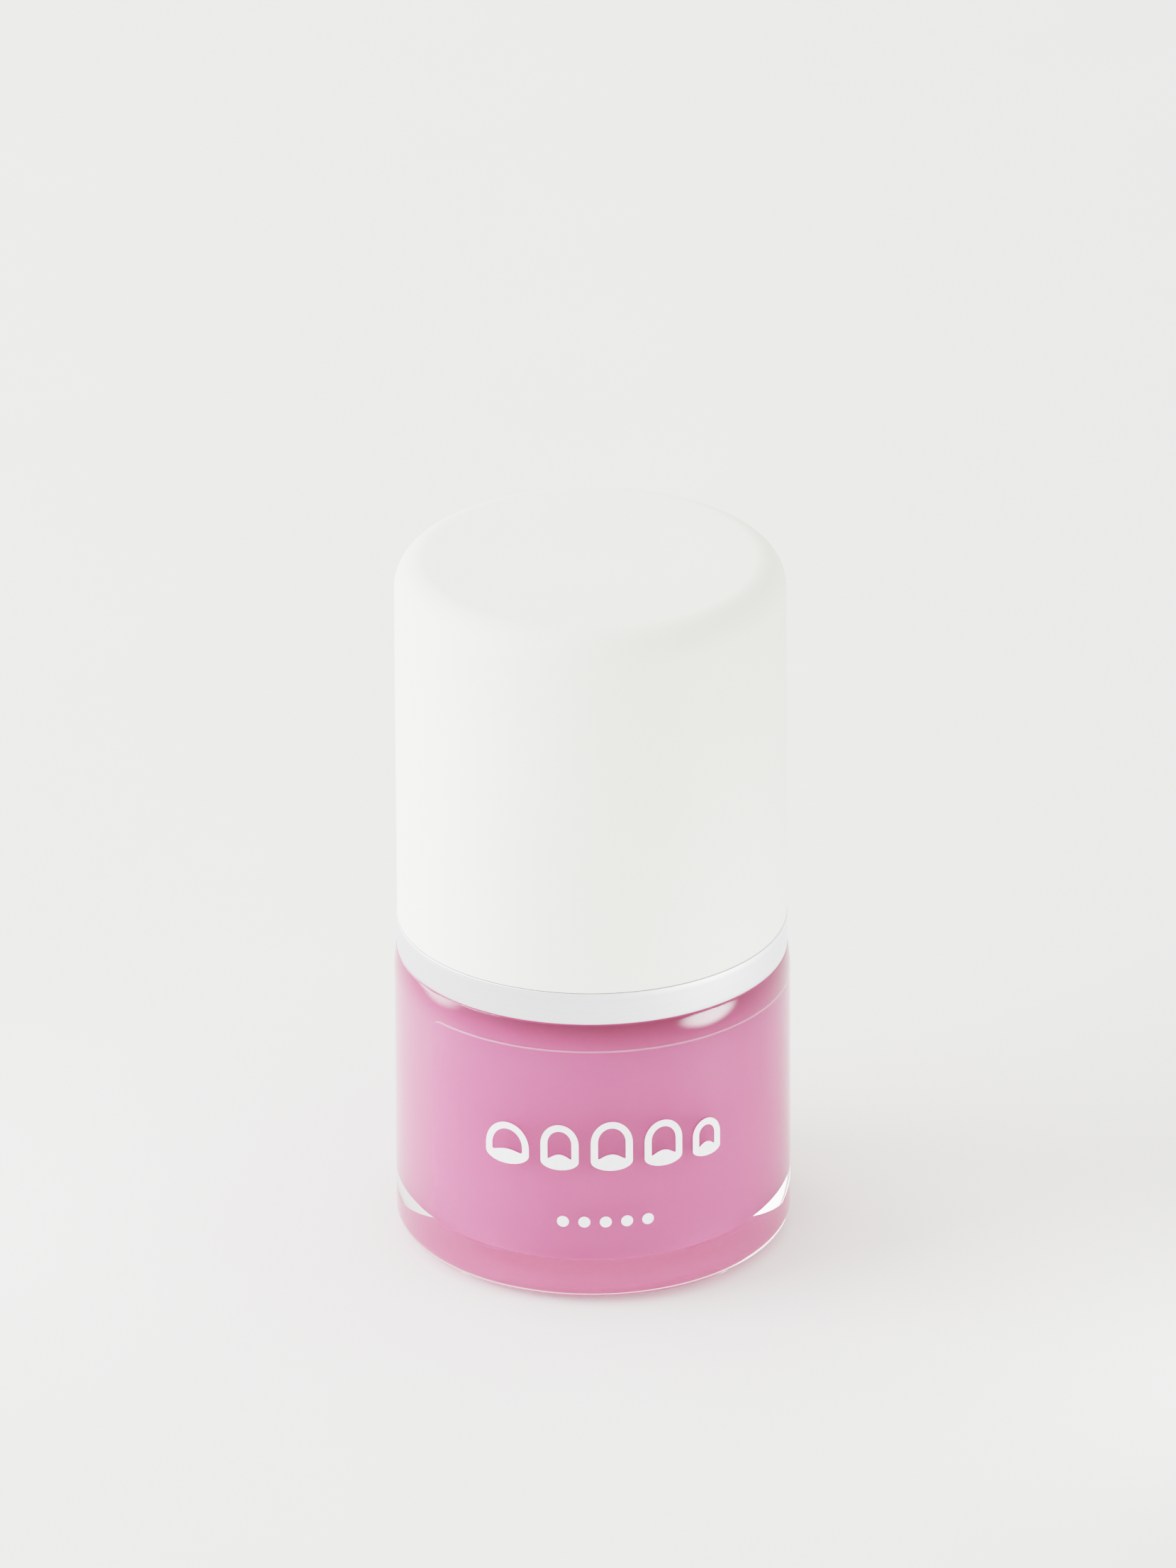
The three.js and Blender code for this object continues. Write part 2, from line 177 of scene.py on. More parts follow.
def mesh_object(name, vertices, faces, sharp_deg=40):
    """A smooth-shaded mesh object from points in millimetres, with edges over sharp_deg kept sharp."""
    mesh = bpy.data.meshes.new(name)
    mesh.from_pydata([Vector(v) * MM for v in vertices], [], faces)
    mesh.validate()
    mesh.update()
    mesh.shade_smooth()
    mesh.set_sharp_from_angle(angle=math.radians(sharp_deg))
    obj = bpy.data.objects.new(name, mesh)
    bpy.context.scene.collection.objects.link(obj)
    return obj


def turned(name, profile, columns=ROUND, shape=None, sharp_deg=40):
    """A closed piece turned about Z from a profile with its material on the left.

    A profile runs from axis to axis, or ends on its first point. shape(angle, r, z) may move a point.
    """
    closed = profile[0] == profile[-1]
    rows = profile[:-1] if closed else profile
    vertices = []
    row_index = []
    for r, z in rows:
        if r < 1e-9:
            row_index.append([len(vertices)] * columns)
            vertices.append((0, 0, z))
            continue
        row_index.append(list(range(len(vertices), len(vertices) + columns)))
        for k in range(columns):
            angle = 2 * math.pi * k / columns
            at_r, at_z = shape(angle, r, z) if shape else (r, z)
            vertices.append((at_r * math.cos(angle), at_r * math.sin(angle), at_z))
    faces = []
    spans = list(zip(row_index, row_index[1:]))
    if closed:
        spans.append((row_index[-1], row_index[0]))
    for lower, upper in spans:
        for k in range(columns):
            n = (k + 1) % columns
            corners = [lower[k], lower[n], upper[n], upper[k]]
            faces.append(list(dict.fromkeys(corners)))
    return mesh_object(name, vertices, faces, sharp_deg)


def thread_height(angle, z, start_z, turns, root_w, crest_w, depth):
    """How far a right-hand thread stands out of its wall at one place, in millimetres."""
    fade_turns = 0.08
    best = 0.0
    first = angle / (2 * math.pi)
    for whole in range(int(turns) + 2):
        along = first + whole
        if not 0 <= along <= turns:
            continue
        off = abs(z - (start_z + THREAD_LEAD * along))
        flank = (root_w / 2 - off) / ((root_w - crest_w) / 2)
        fade = min(1, along / fade_turns, (turns - along) / fade_turns)
        best = max(best, depth * min(1, max(0, flank)) * fade)
    return best


# ---------------------------------------------------------------- materials

def new_material(name, **sockets):
    """A Principled material; returns (material, node tree, its shader node)."""
    material = bpy.data.materials.new(name)
    material.use_nodes = True
    tree = material.node_tree
    shader = tree.nodes["Principled BSDF"]
    for socket, value in sockets.items():
        shader.inputs[socket.replace("_", " ")].default_value = value
    return material, tree, shader


def add_node(tree, kind, **inputs):
    """A node with some of its sockets set; an underscore stands for a space in a socket's name."""
    node = tree.nodes.new(kind)
    for name, value in inputs.items():
        node.inputs[name.replace("_", " ")].default_value = value
    return node


def object_noise(tree, scale, detail=2.0, roughness=0.5, stretch=(1, 1, 1)):
    """Noise in object space, with scale in repeats to the metre."""
    place = tree.nodes.new("ShaderNodeTexCoord")
    mapping = add_node(tree, "ShaderNodeMapping", Scale=stretch)
    noise = add_node(tree, "ShaderNodeTexNoise", Scale=scale, Detail=detail, Roughness=roughness)
    tree.links.new(place.outputs["Object"], mapping.inputs["Vector"])
    tree.links.new(mapping.outputs["Vector"], noise.inputs["Vector"])
    return noise.outputs["Fac"]


def ramp(tree, factor, stops):
    """A colour ramp over factor, from (position, colour) stops."""
    node = tree.nodes.new("ShaderNodeValToRGB")
    elements = node.color_ramp.elements
    while len(elements) < len(stops):
        elements.new(0.5)
    for element, (position, colour) in zip(elements, stops):
        element.position = position
        element.color = (*colour, 1)
    tree.links.new(factor, node.inputs["Fac"])
    return node.outputs["Color"]


def spread(tree, factor, low, high):
    """Factor 0 to 1 as a number from low to high."""
    node = add_node(tree, "ShaderNodeMapRange")
    node.inputs["To Min"].default_value = low
    node.inputs["To Max"].default_value = high
    tree.links.new(factor, node.inputs["Value"])
    return node.outputs["Result"]


def mix_colour(tree, factor, first, second):
    """First at factor 0, second at factor 1."""
    node = tree.nodes.new("ShaderNodeMixRGB")
    for socket, source in zip(node.inputs, (factor, first, second)):
        tree.links.new(source, socket)
    return node.outputs[0]


def bump(tree, shader, height, strength, distance):
    """A fine relief from height, distance in metres."""
    node = add_node(tree, "ShaderNodeBump", Strength=strength, Distance=distance)
    tree.links.new(height, node.inputs["Height"])
    tree.links.new(node.outputs["Normal"], shader.inputs["Normal"])


def clear_glass():
    """Flint glass."""
    return new_material(
        "clear_glass",
        Base_Color=(0.985, 0.99, 0.99, 1),
        Roughness=0.0,
        IOR=1.5,
        Transmission_Weight=1.0,
    )[0]


def pink_polish():
    """Cream polish: a pink pigment with a slow cloudiness, and painted shade that makes it deeper in
    colour towards the top, under the collar.
    """
    material, tree, shader = new_material(
        "pink_polish",
        Roughness=0.35,
        IOR=1.5,
        Specular_IOR_Level=0.0,
    )
    cloud = object_noise(tree, 140, detail=3)
    even = ramp(tree, cloud, [(0.3, (0.72, 0.175, 0.34)), (0.7, (0.74, 0.19, 0.36))])
    place = tree.nodes.new("ShaderNodeTexCoord")
    axes = tree.nodes.new("ShaderNodeSeparateXYZ")
    tree.links.new(place.outputs["Object"], axes.inputs["Vector"])
    # painted shade: this mask rises to 1 under the ceiling, where the collar and cap shade the polish
    height = add_node(tree, "ShaderNodeMapRange")
    height.interpolation_type = "SMOOTHSTEP"
    height.inputs["From Min"].default_value = (CEILING - PAINTED_SHADE_DEPTH) * MM
    height.inputs["From Max"].default_value = CEILING * MM
    tree.links.new(axes.outputs["Z"], height.inputs["Value"])
    # painted shade: a deeper, darker pink for the shaded top of the polish
    painted_shade = ramp(tree, cloud, [(0.3, (0.83, 0.14, 0.32)), (0.7, (0.84, 0.15, 0.33))])
    mixed = mix_colour(tree, height.outputs["Result"], even, painted_shade)
    tree.links.new(mixed, shader.inputs["Base Color"])
    return material


def soft_touch():
    """Rubbery matt lacquer on the shell: a very fine grain and faint handling marks."""
    material, tree, shader = new_material(
        "soft_touch_white",
        IOR=1.45,
        Specular_IOR_Level=0.35,
        Sheen_Weight=0.08,
        Sheen_Roughness=0.5,
    )
    marks = object_noise(tree, 90, detail=4, stretch=(1, 1, 0.5))
    colour = ramp(tree, marks, [(0.3, (0.805, 0.805, 0.745)), (0.7, (0.835, 0.835, 0.775))])
    tree.links.new(colour, shader.inputs["Base Color"])
    tree.links.new(spread(tree, marks, 0.52, 0.64), shader.inputs["Roughness"])
    grain = object_noise(tree, 9000, detail=2)
    bump(tree, shader, grain, 0.25, 0.00002)
    return material


def silver_band():
    """Satin metal with fine turning lines round it."""
    material, tree, shader = new_material("silver_band", Metallic=1.0)
    lines = object_noise(tree, 40, detail=3, stretch=(1, 1, 400))
    colour = ramp(tree, lines, [(0.35, (0.68, 0.69, 0.715)), (0.65, (0.72, 0.73, 0.75))])
    tree.links.new(colour, shader.inputs["Base Color"])
    tree.links.new(spread(tree, lines, 0.38, 0.46), shader.inputs["Roughness"])
    shader.inputs["Anisotropic"].default_value = 0.8
    along = tree.nodes.new("ShaderNodeTangent")
    along.direction_type = "RADIAL"
    along.axis = "Z"
    tree.links.new(along.outputs["Tangent"], shader.inputs["Tangent"])
    return material


def white_plastic():
    """Natural white polypropylene of the closure and the brush stem."""
    material, tree, shader = new_material(
        "white_plastic",
        Subsurface_Weight=0.15,
        Subsurface_Scale=0.001,
        IOR=1.49,
    )
    mottle = object_noise(tree, 500, detail=3)
    colour = ramp(tree, mottle, [(0.3, (0.80, 0.80, 0.78)), (0.7, (0.86, 0.86, 0.845))])
    tree.links.new(colour, shader.inputs["Base Color"])
    tree.links.new(spread(tree, mottle, 0.32, 0.45), shader.inputs["Roughness"])
    bump(tree, shader, object_noise(tree, 3000), 0.1, 0.00002)
    return material


def liner_foam():
    """Foamed polyethylene washer."""
    material, tree, shader = new_material("liner_foam", Roughness=0.85)
    cells = object_noise(tree, 2500, detail=4, roughness=0.7)
    colour = ramp(tree, cells, [(0.3, (0.72, 0.70, 0.65)), (0.7, (0.84, 0.82, 0.78))])
    tree.links.new(colour, shader.inputs["Base Color"])
    bump(tree, shader, cells, 0.6, 0.00008)
    return material


def polished_steel():
    """Steel with fine scuffs, for the balls and the staple."""
    material, tree, shader = new_material("ball_steel", Metallic=1.0)
    scuff = object_noise(tree, 900, detail=4)
    colour = ramp(tree, scuff, [(0.3, (0.52, 0.53, 0.54)), (0.7, (0.66, 0.67, 0.68))])
    tree.links.new(colour, shader.inputs["Base Color"])
    tree.links.new(spread(tree, scuff, 0.08, 0.25), shader.inputs["Roughness"])
    return material


def wet_filaments():
    """Nylon filaments, wet with polish over most of their length."""
    material, tree, shader = new_material("bristle_nylon", IOR=1.53, Coat_Weight=0.4)
    place = tree.nodes.new("ShaderNodeTexCoord")
    axes = tree.nodes.new("ShaderNodeSeparateXYZ")
    height = add_node(tree, "ShaderNodeMapRange")
    height.inputs["From Min"].default_value = tuft_low.z * MM
    height.inputs["From Max"].default_value = stem_low.z * MM
    tree.links.new(place.outputs["Object"], axes.inputs["Vector"])
    tree.links.new(axes.outputs["Z"], height.inputs["Value"])
    stops = [(0.0, (0.62, 0.23, 0.40)), (0.72, (0.66, 0.27, 0.44)), (0.95, (0.78, 0.62, 0.66))]
    tree.links.new(ramp(tree, height.outputs["Result"], stops), shader.inputs["Base Color"])
    shader.inputs["Roughness"].default_value = 0.25
    return material


def clear_film():
    """Clear film, all but invisible on its face. Its cut edge carries a painted highlight above and
    painted shade below.
    """
    material, tree, shader = new_material("clear_film", Roughness=0.25, IOR=1.5)
    surface = tree.nodes.new("ShaderNodeNewGeometry")
    axes = tree.nodes.new("ShaderNodeSeparateXYZ")
    tree.links.new(surface.outputs["Normal"], axes.inputs["Vector"])
    tilt = add_node(tree, "ShaderNodeMapRange")
    tilt.inputs["From Min"].default_value = -1
    tree.links.new(axes.outputs["Z"], tilt.inputs["Value"])
    face = (0.72, 0.10, 0.36)
    # painted shade on the downward cut edge and painted highlight on the upward one, picked by the height
    # of the normal
    painted_shade_edge = (0.45, 0.15, 0.30)
    painted_highlight_edge = (0.90, 0.80, 0.86)
    colours = [(0.3, painted_shade_edge), (0.45, face), (0.55, face), (0.7, painted_highlight_edge)]
    tree.links.new(ramp(tree, tilt.outputs["Result"], colours), shader.inputs["Base Color"])
    # the painted edges are also less see-through than the face
    cover = [(0.3, (0.25,) * 3), (0.45, (0.03,) * 3), (0.55, (0.03,) * 3), (0.7, (0.15,) * 3)]
    tree.links.new(ramp(tree, tilt.outputs["Result"], cover), shader.inputs["Alpha"])
    return material


def white_ink():
    """Screen-printed white, a little uneven."""
    material, tree, shader = new_material("white_ink", Roughness=0.45)
    patchy = object_noise(tree, 1500, detail=3)
    colour = ramp(tree, patchy, [(0.3, (0.80, 0.79, 0.82)), (0.7, (0.86, 0.86, 0.88))])
    tree.links.new(colour, shader.inputs["Base Color"])
    return material


MATERIALS = {
    "clear_glass": clear_glass(),
    "clear_film": clear_film(),
    "pink_polish": pink_polish(),
    "soft_touch_white": soft_touch(),
    "silver_band": silver_band(),
    "white_plastic": white_plastic(),
    "liner_foam": liner_foam(),
    "ball_steel": polished_steel(),
    "bristle_nylon": wet_filaments(),
}


def fit(obj, body, slot, *nodes, material=None):
    """Give a piece its material, from its slot unless one is passed, put it under its CAD body, and hide
    the CAD nodes it stands for.
    """
    obj.data.materials.clear()
    obj.data.materials.append(material or MATERIALS[slot])
    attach(obj, body)
    if nodes:
        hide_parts(*nodes)
    return obj


# ---------------------------------------------------------------- glass jar

def glass_shape(angle, r, z):
    """The screw thread on the neck and the bars that the jar stands on."""
    if z > SHOULDER_TOP + 1 and r > NECK_ROOT_R - 0.01:
        widths = (THREAD_ROOT_W, THREAD_CREST_W)
        return r + thread_height(angle, z, NECK_THREAD_Z, NECK_THREAD_TURNS, *widths, THREAD_DEPTH), z
    if z < FOOT_HEIGHT + 0.05 and abs(r - FOOT_R) < FOOT_BAR_REACH:
        across = 1 - ((r - FOOT_R) / FOOT_BAR_REACH) ** 2
        along = max(0.0, math.cos(angle * FOOT_BARS)) ** 0.7
        return r, z - FOOT_HEIGHT * min(1, 1.5 * across) * along
    return r, z


def floor_height(r):
    """Height of the crowned floor inside the jar, at radius r."""
    edge_r = CAVITY_R - FLOOR_CORNER_R
    return FLOOR + FLOOR_CROWN * (1 - (r / edge_r) ** 2)


def glass_bottle():
    """The jar: outside from the base up, over the rim, and down the inside to the floor."""
    heel_r = BOTTLE_R - HEEL_R
    edge = SHOULDER_EDGE_R
    sweep = math.degrees(math.asin((SHOULDER_TOP - edge - SHOULDER_FOOT) / SHOULDER_ARC_R))
    edge_r = BOTTLE_R - SHOULDER_ARC_R * (1 - math.cos(math.radians(sweep))) - edge
    outside = [
        (0, FOOT_HEIGHT + PUSH_UP),
        *[(r, FOOT_HEIGHT + PUSH_UP * (1 - (r / (FOOT_R - 1.2)) ** 2)) for r in (2.5, 5, 7, 8.5, 9.6)],
        (FOOT_R - 1.1, FOOT_HEIGHT),
        *rise(FOOT_R - 0.9, FOOT_HEIGHT, FOOT_R + 0.85, FOOT_HEIGHT, 8),
        *arc(heel_r, FOOT_HEIGHT + HEEL_R, HEEL_R, -90, 0, 20),
        *rise(BOTTLE_R, 2.4, BOTTLE_R, SHOULDER_FOOT, 8),
        *arc(BOTTLE_R - SHOULDER_ARC_R, SHOULDER_FOOT, SHOULDER_ARC_R, 0, sweep, 12)[:-1],
        *arc(edge_r, SHOULDER_TOP - edge, edge, sweep, 90, 6),
        *rise(BOTTLE_R - 1.0, SHOULDER_TOP, NECK_ROOT_R + 1.4, SHOULDER_TOP + 0.2, 4),
        *arc(NECK_ROOT_R + 1.2, SHOULDER_TOP + 1.5, 1.2, 270, 180, 8),
        *arc(NECK_ROOT_R, SHOULDER_TOP + 2.4, 0.55, -80, 80, 8),
        *rise(NECK_ROOT_R, SHOULDER_TOP + 3.2, NECK_ROOT_R, NECK_TOP - 0.5, 76),
    ]
    rim = [
        *arc(NECK_ROOT_R - 0.5, NECK_TOP - 0.5, 0.5, 0, 90, 6),
        *arc(NECK_BORE_R + 0.5, NECK_TOP - 0.5, 0.5, 90, 180, 6),
    ]
    corner = CEILING_CORNER_R
    inside = [
        *rise(NECK_BORE_R, NECK_TOP - 1.5, NECK_BORE_R, CEILING + 2.5, 4),
        *arc(NECK_BORE_R + NECK_MOUTH_R, CEILING + NECK_MOUTH_R, NECK_MOUTH_R, 180, 270, 12),
        *arc(CAVITY_R - corner, CEILING - corner, corner, 90, 0, 14),
        *rise(CAVITY_R, CEILING - corner - 1, CAVITY_R, FLOOR + FLOOR_CORNER_R + 1, 6),
        *arc(CAVITY_R - FLOOR_CORNER_R, FLOOR + FLOOR_CORNER_R, FLOOR_CORNER_R, 0, -90, 16),
        *[(r, floor_height(r)) for r in (5.5, 4.0, 2.5, 1.2)],
        (0, FLOOR + FLOOR_CROWN),
    ]
    jar = turned("glass_jar", [*outside, *rim, *inside], shape=glass_shape, sharp_deg=50)
    return fit(jar, "bottle", "clear_glass", "glass_bottle")


def polish():
    """Polish up into the neck, with a hollow surface where it wets the glass."""
    wet = WETTING
    outer = CAVITY_R + wet
    top = CEILING + wet
    bore = NECK_BORE_R + wet
    corner = CEILING_CORNER_R
    level = CEILING + POLISH_RISE
    profile = [
        (0, FLOOR + FLOOR_CROWN - wet),
        *[(r, floor_height(r) - wet) for r in (1.2, 2.5, 4.0, 5.5)],
        *arc(outer - FLOOR_CORNER_R, FLOOR - wet + FLOOR_CORNER_R, FLOOR_CORNER_R, -90, 0, 16),
        *arc(outer - corner, top - corner, corner, 0, 90, 14),
        *arc(bore + NECK_MOUTH_R, top + NECK_MOUTH_R, NECK_MOUTH_R, 270, 188, 12),
        (bore - 0.25, level - 0.05),
        (bore - 0.8, level - 0.12),
        (0, level - 0.15),
    ]
    return fit(turned("polish", profile), "bottle", "pink_polish", "polish_fill")


def mixing_balls():
    """Steel balls on the floor of the jar."""
    for number in (1, 2):
        low, high = frame_box(f"mixing_ball_{number}")
        radius = (high.z - low.z) / 2
        profile = arc(0, 0, radius, -90, 90, 32)
        profile[0] = (0, -radius)
        profile[-1] = (0, radius)
        ball = turned(f"steel_ball_{number}", profile, columns=64)
        ball.data.transform(Matrix.Translation((low + high) / 2 * MM))
        fit(ball, f"ball_{number}", "ball_steel", f"mixing_ball_{number}")


# ---------------------------------------------------------------- cap

def outer_shell():
    """The soft-touch shell: rounded at the top, eased at the foot, with a sleeve and ribs inside."""
    inner_r = SHELL_R - SHELL_WALL
    ceiling = SHELL_TOP - SHELL_WALL
    sleeve_in = CLOSURE_R + 0.5
    sleeve_out = sleeve_in + 1
    edge = SHELL_TOP_EDGE_R
    foot = SHELL_FOOT_EDGE_R
    profile = [
        (inner_r, SHELL_FOOT + 0.3),
        *arc(inner_r + 0.2, SHELL_FOOT + 0.2, 0.2, 180, 270, 4),
        *arc(SHELL_R - foot, SHELL_FOOT + foot, foot, -90, 0, 8),
        *rise(SHELL_R, SHELL_FOOT + 1, SHELL_R, SHELL_TOP - edge - 0.5, 12),
        *arc(SHELL_R - edge, SHELL_TOP - edge, edge, 0, 90, 24),
        *[(r, SHELL_TOP) for r in (10, 7, 3.5)],
        (0, SHELL_TOP),
        (0, ceiling),
        (sleeve_in, ceiling),
        (sleeve_in, SHELL_FOOT + 0.7),
        (sleeve_in + 0.1, SHELL_FOOT + 0.6),
        (sleeve_out - 0.1, SHELL_FOOT + 0.6),
        (sleeve_out, SHELL_FOOT + 0.7),
        (sleeve_out, ceiling),
        (inner_r - 1, ceiling),
        (inner_r, ceiling - 1),
        (inner_r, SHELL_FOOT + 0.3),
    ]
    shell = turned("cap_shell", profile)
    across = (sleeve_out - 0.1, inner_r + 0.1)
    add_ribs(shell, SHELL_RIBS, across, 1.0, (SHELL_FOOT + 5.1, ceiling + 0.2))
    return fit(shell, "cap", "soft_touch_white", "outer_cap")


def add_ribs(obj, count, radii, thickness, heights):
    """Radial ribs in the same mesh, each sunk into the walls that it joins."""
    mesh = bmesh.new()
    mesh.from_mesh(obj.data)
    size = Vector((radii[1] - radii[0], thickness, heights[1] - heights[0])) * MM
    middle = Vector(((radii[0] + radii[1]) / 2, 0, (heights[0] + heights[1]) / 2)) * MM
    for k in range(count):
        turn = Matrix.Rotation(2 * math.pi * k / count, 4, "Z")
        place = turn @ Matrix.Translation(middle) @ Matrix.Diagonal((*size, 1))
        bmesh.ops.create_cube(mesh, size=1, matrix=place)
    mesh.to_mesh(obj.data)
    mesh.free()
    obj.data.set_sharp_from_angle(angle=math.radians(40))


def closure_shape(angle, r, z):
    """The thread inside the closure and the grip ribs outside it."""
    inside = abs(r - CLOSURE_BORE_R) < 0.01 and z < liner_high.z
    if inside:
        start = NECK_THREAD_Z - THREAD_LEAD / 2
        widths = (CAP_THREAD_ROOT_W, CAP_THREAD_CREST_W)
        return r - thread_height(angle, z, start, CAP_THREAD_TURNS, *widths, CAP_THREAD_DEPTH), z
    if abs(r - CLOSURE_R) < 0.01 and closure_low.z + 1.5 < z < liner_high.z - 1.2:
        return r + GRIP_RIB_HEIGHT * max(0.0, math.cos(angle * GRIP_RIBS)) ** 8, z
    return r, z


def closure():
    """The screw closure inside the shell, with the socket that holds the brush."""
    foot = closure_low.z
    plate = liner_high.z + 0.1
    plug = STEM_PLUG_R + 0.05
    profile = [
        *rise(CLOSURE_BORE_R, plate, CLOSURE_BORE_R, foot + 0.2, 96),
        (CLOSURE_BORE_R, foot + 0.2),
        (CLOSURE_BORE_R + 0.2, foot),
        *arc(CLOSURE_R - 0.25, foot + 0.25, 0.25, -90, 0, 5),
        *rise(CLOSURE_R, foot + 1.0, CLOSURE_R, plate + CLOSURE_PLATE - 0.6, 24),
        *arc(CLOSURE_R - 0.5, plate + CLOSURE_PLATE - 0.5, 0.5, 0, 90, 6),
        *arc(SOCKET_R + 0.4, plate + CLOSURE_PLATE + 0.4, 0.4, 270, 180, 5),
        *arc(SOCKET_R - 0.6, closure_high.z - 0.6, 0.6, 0, 90, 6),
        (0, closure_high.z),
        (0, stem_high.z + 0.1),
        (plug, stem_high.z + 0.1),
        (plug, plate),
        (CLOSURE_BORE_R, plate),
    ]
    piece = turned("screw_closure", profile, shape=closure_shape)
    return fit(piece, "cap", "white_plastic", "inner_cap")


def collar():
    """The silver band, with eased edges and a spigot that stands up inside the shell."""
    edge = RING_EDGE_R
    spigot_r = SHELL_R - SHELL_WALL - 0.1
    inner_r = spigot_r - SPIGOT_WALL
    profile = [
        (inner_r, RING_FOOT + 0.1),
        (inner_r + 0.1, RING_FOOT),
        *arc(RING_R - edge, RING_FOOT + edge, edge, -90, 0, 6),
        *rise(RING_R, RING_FOOT + 0.3, RING_R, RING_TOP - edge - 0.1, 6),
        *arc(RING_R - edge, RING_TOP - edge, edge, 0, 90, 6),
        (spigot_r, RING_TOP),
        (spigot_r, ring_high.z - 0.3),
        (spigot_r - 0.3, ring_high.z),
        (inner_r, ring_high.z),
        (inner_r, RING_FOOT + 0.1),
    ]
    return fit(turned("silver_collar", profile), "collar", "silver_band", "collar_ring")


def liner():
    """The flat washer between the glass rim and the closure."""
    outer = liner_high.x
    hole = LINER_HOLE_R
    profile = [
        (hole, liner_low.z + 0.1),
        (hole + 0.1, liner_low.z),
        *arc(outer - 0.15, liner_low.z + 0.15, 0.15, -90, 0, 4),
        *arc(outer - 0.15, liner_high.z - 0.15, 0.15, 0, 90, 4),
        (hole + 0.1, liner_high.z),
        (hole, liner_high.z - 0.1),
        (hole, liner_low.z + 0.1),
    ]
    return fit(turned("seal_washer", profile, columns=128), "liner", "liner_foam", "seal_liner")


# ---------------------------------------------------------------- brush

def stem():
    """The brush stem, from the plug in the closure to the hole that holds the filaments."""
    foot = stem_low.z
    profile = [
        (TUFT_HOLE_R, foot + 0.15),
        (TUFT_HOLE_R + 0.1, foot),
        *arc(STEM_R, foot + 0.2, 0.2, -90, 0, 4),
        (STEM_R + 0.2, foot + 3.2),
        *rise(STEM_R + 0.16, foot + 3.5, STEM_R, foot + 4.2, 3),
        *rise(STEM_R, foot + 4.2, STEM_R, NECK_TOP - 2.6, 8),
        *rise(STEM_R, NECK_TOP - 2.5, STEM_PLUG_R, NECK_TOP - 1.0, 4),
        *rise(STEM_PLUG_R, NECK_TOP - 1.0, STEM_PLUG_R, stem_high.z - 0.4, 4),
        (STEM_PLUG_R, stem_high.z - 0.4),
        (STEM_PLUG_R - 0.4, stem_high.z),
        (0, stem_high.z),
        (0, tuft_high.z + 0.3),
        (TUFT_HOLE_R, tuft_high.z + 0.3),
        (TUFT_HOLE_R, foot + 0.15),
    ]
    return fit(turned("brush_wand", profile, columns=96), "cap", "white_plastic", "brush_stem")


def filament(vertices, faces, path, radius, sides=5):
    """Add one round filament along a path, tapered to a soft tip."""
    base = len(vertices)
    for i, (x, y, z) in enumerate(path):
        thin = 0.45 if i == len(path) - 1 else 1.0
        for k in range(sides):
            a = 2 * math.pi * k / sides
            vertices.append((x + radius * thin * math.cos(a), y + radius * thin * math.sin(a), z))
    for i in range(len(path) - 1):
        for k in range(sides):
            n = (k + 1) % sides
            row = base + i * sides
            faces.append((row + k, row + sides + k, row + sides + n, row + n))
    last = base + (len(path) - 1) * sides
    faces.append([base + k for k in range(sides)])
    faces.append([last + k for k in reversed(range(sides))])


def bristles():
    """Filaments that leave the stem in a tight round bundle, belly out, and end in a rounded tip."""
    rng = random.Random(SEED)
    vertices = []
    faces = []
    steps = 9
    for i in range(FILAMENTS):
        share = math.sqrt((i + 0.5) / FILAMENTS)
        angle = i * math.pi * (3 - math.sqrt(5)) + rng.uniform(-0.1, 0.1)
        tip_z = tuft_low.z + 1.3 * share**3 + rng.uniform(0, 0.25)
        top_z = tuft_high.z
        sway = rng.uniform(-0.06, 0.06)
        path = []
        for s in range(steps + 1):
            t = s / steps
            z = top_z + (tip_z - top_z) * t
            belly = math.sin(math.pi * min(1, 0.12 + 0.66 * t))
            spread_r = 0.95 + (0.93 * TUFT_R - 0.95) * belly * t**0.6
            reach = spread_r * share + sway * t
            path.append((reach * math.cos(angle), reach * math.sin(angle), z))
        filament(vertices, faces, path, 0.055)
    piece = mesh_object("bristle_bundle", vertices, faces, sharp_deg=80)
    return fit(piece, "cap", "bristle_nylon", "bristle_tuft")


# ---------------------------------------------------------------- label and print on the jar

def on_wall(x, z, lift):
    """The place x along the wall from the front and z up, lifted off the glass, in millimetres."""
    angle = x / BOTTLE_R - math.pi / 2
    return (BOTTLE_R + lift) * math.cos(angle), (BOTTLE_R + lift) * math.sin(angle), z


def wrapped(name, shapes, inner, outer, bevel=0.0):
    """Thin shapes wrapped on the jar. A shape is a list of [x, low z, high z] columns."""
    vertices = []
    faces = []
    for columns in shapes:
        base = len(vertices)
        for x, low, high in columns:
            for lift, ease in ((inner, 0.0), (outer, bevel)):
                vertices.append(on_wall(x, low + ease, lift))
                vertices.append(on_wall(x, high - ease, lift))
        for i in range(len(columns) - 1):
            back_low, back_high, front_low, front_high = range(base + 4 * i, base + 4 * i + 4)
            faces.append((front_low, front_low + 4, front_high + 4, front_high))
            faces.append((back_low, back_high, back_high + 4, back_low + 4))
            faces.append((front_high, front_high + 4, back_high + 4, back_high))
            faces.append((back_low, back_low + 4, front_low + 4, front_low))
        last = base + 4 * (len(columns) - 1)
        faces.append((base, base + 2, base + 3, base + 1))
        faces.append((last, last + 1, last + 3, last + 2))
    return mesh_object(name, vertices, faces, sharp_deg=25)


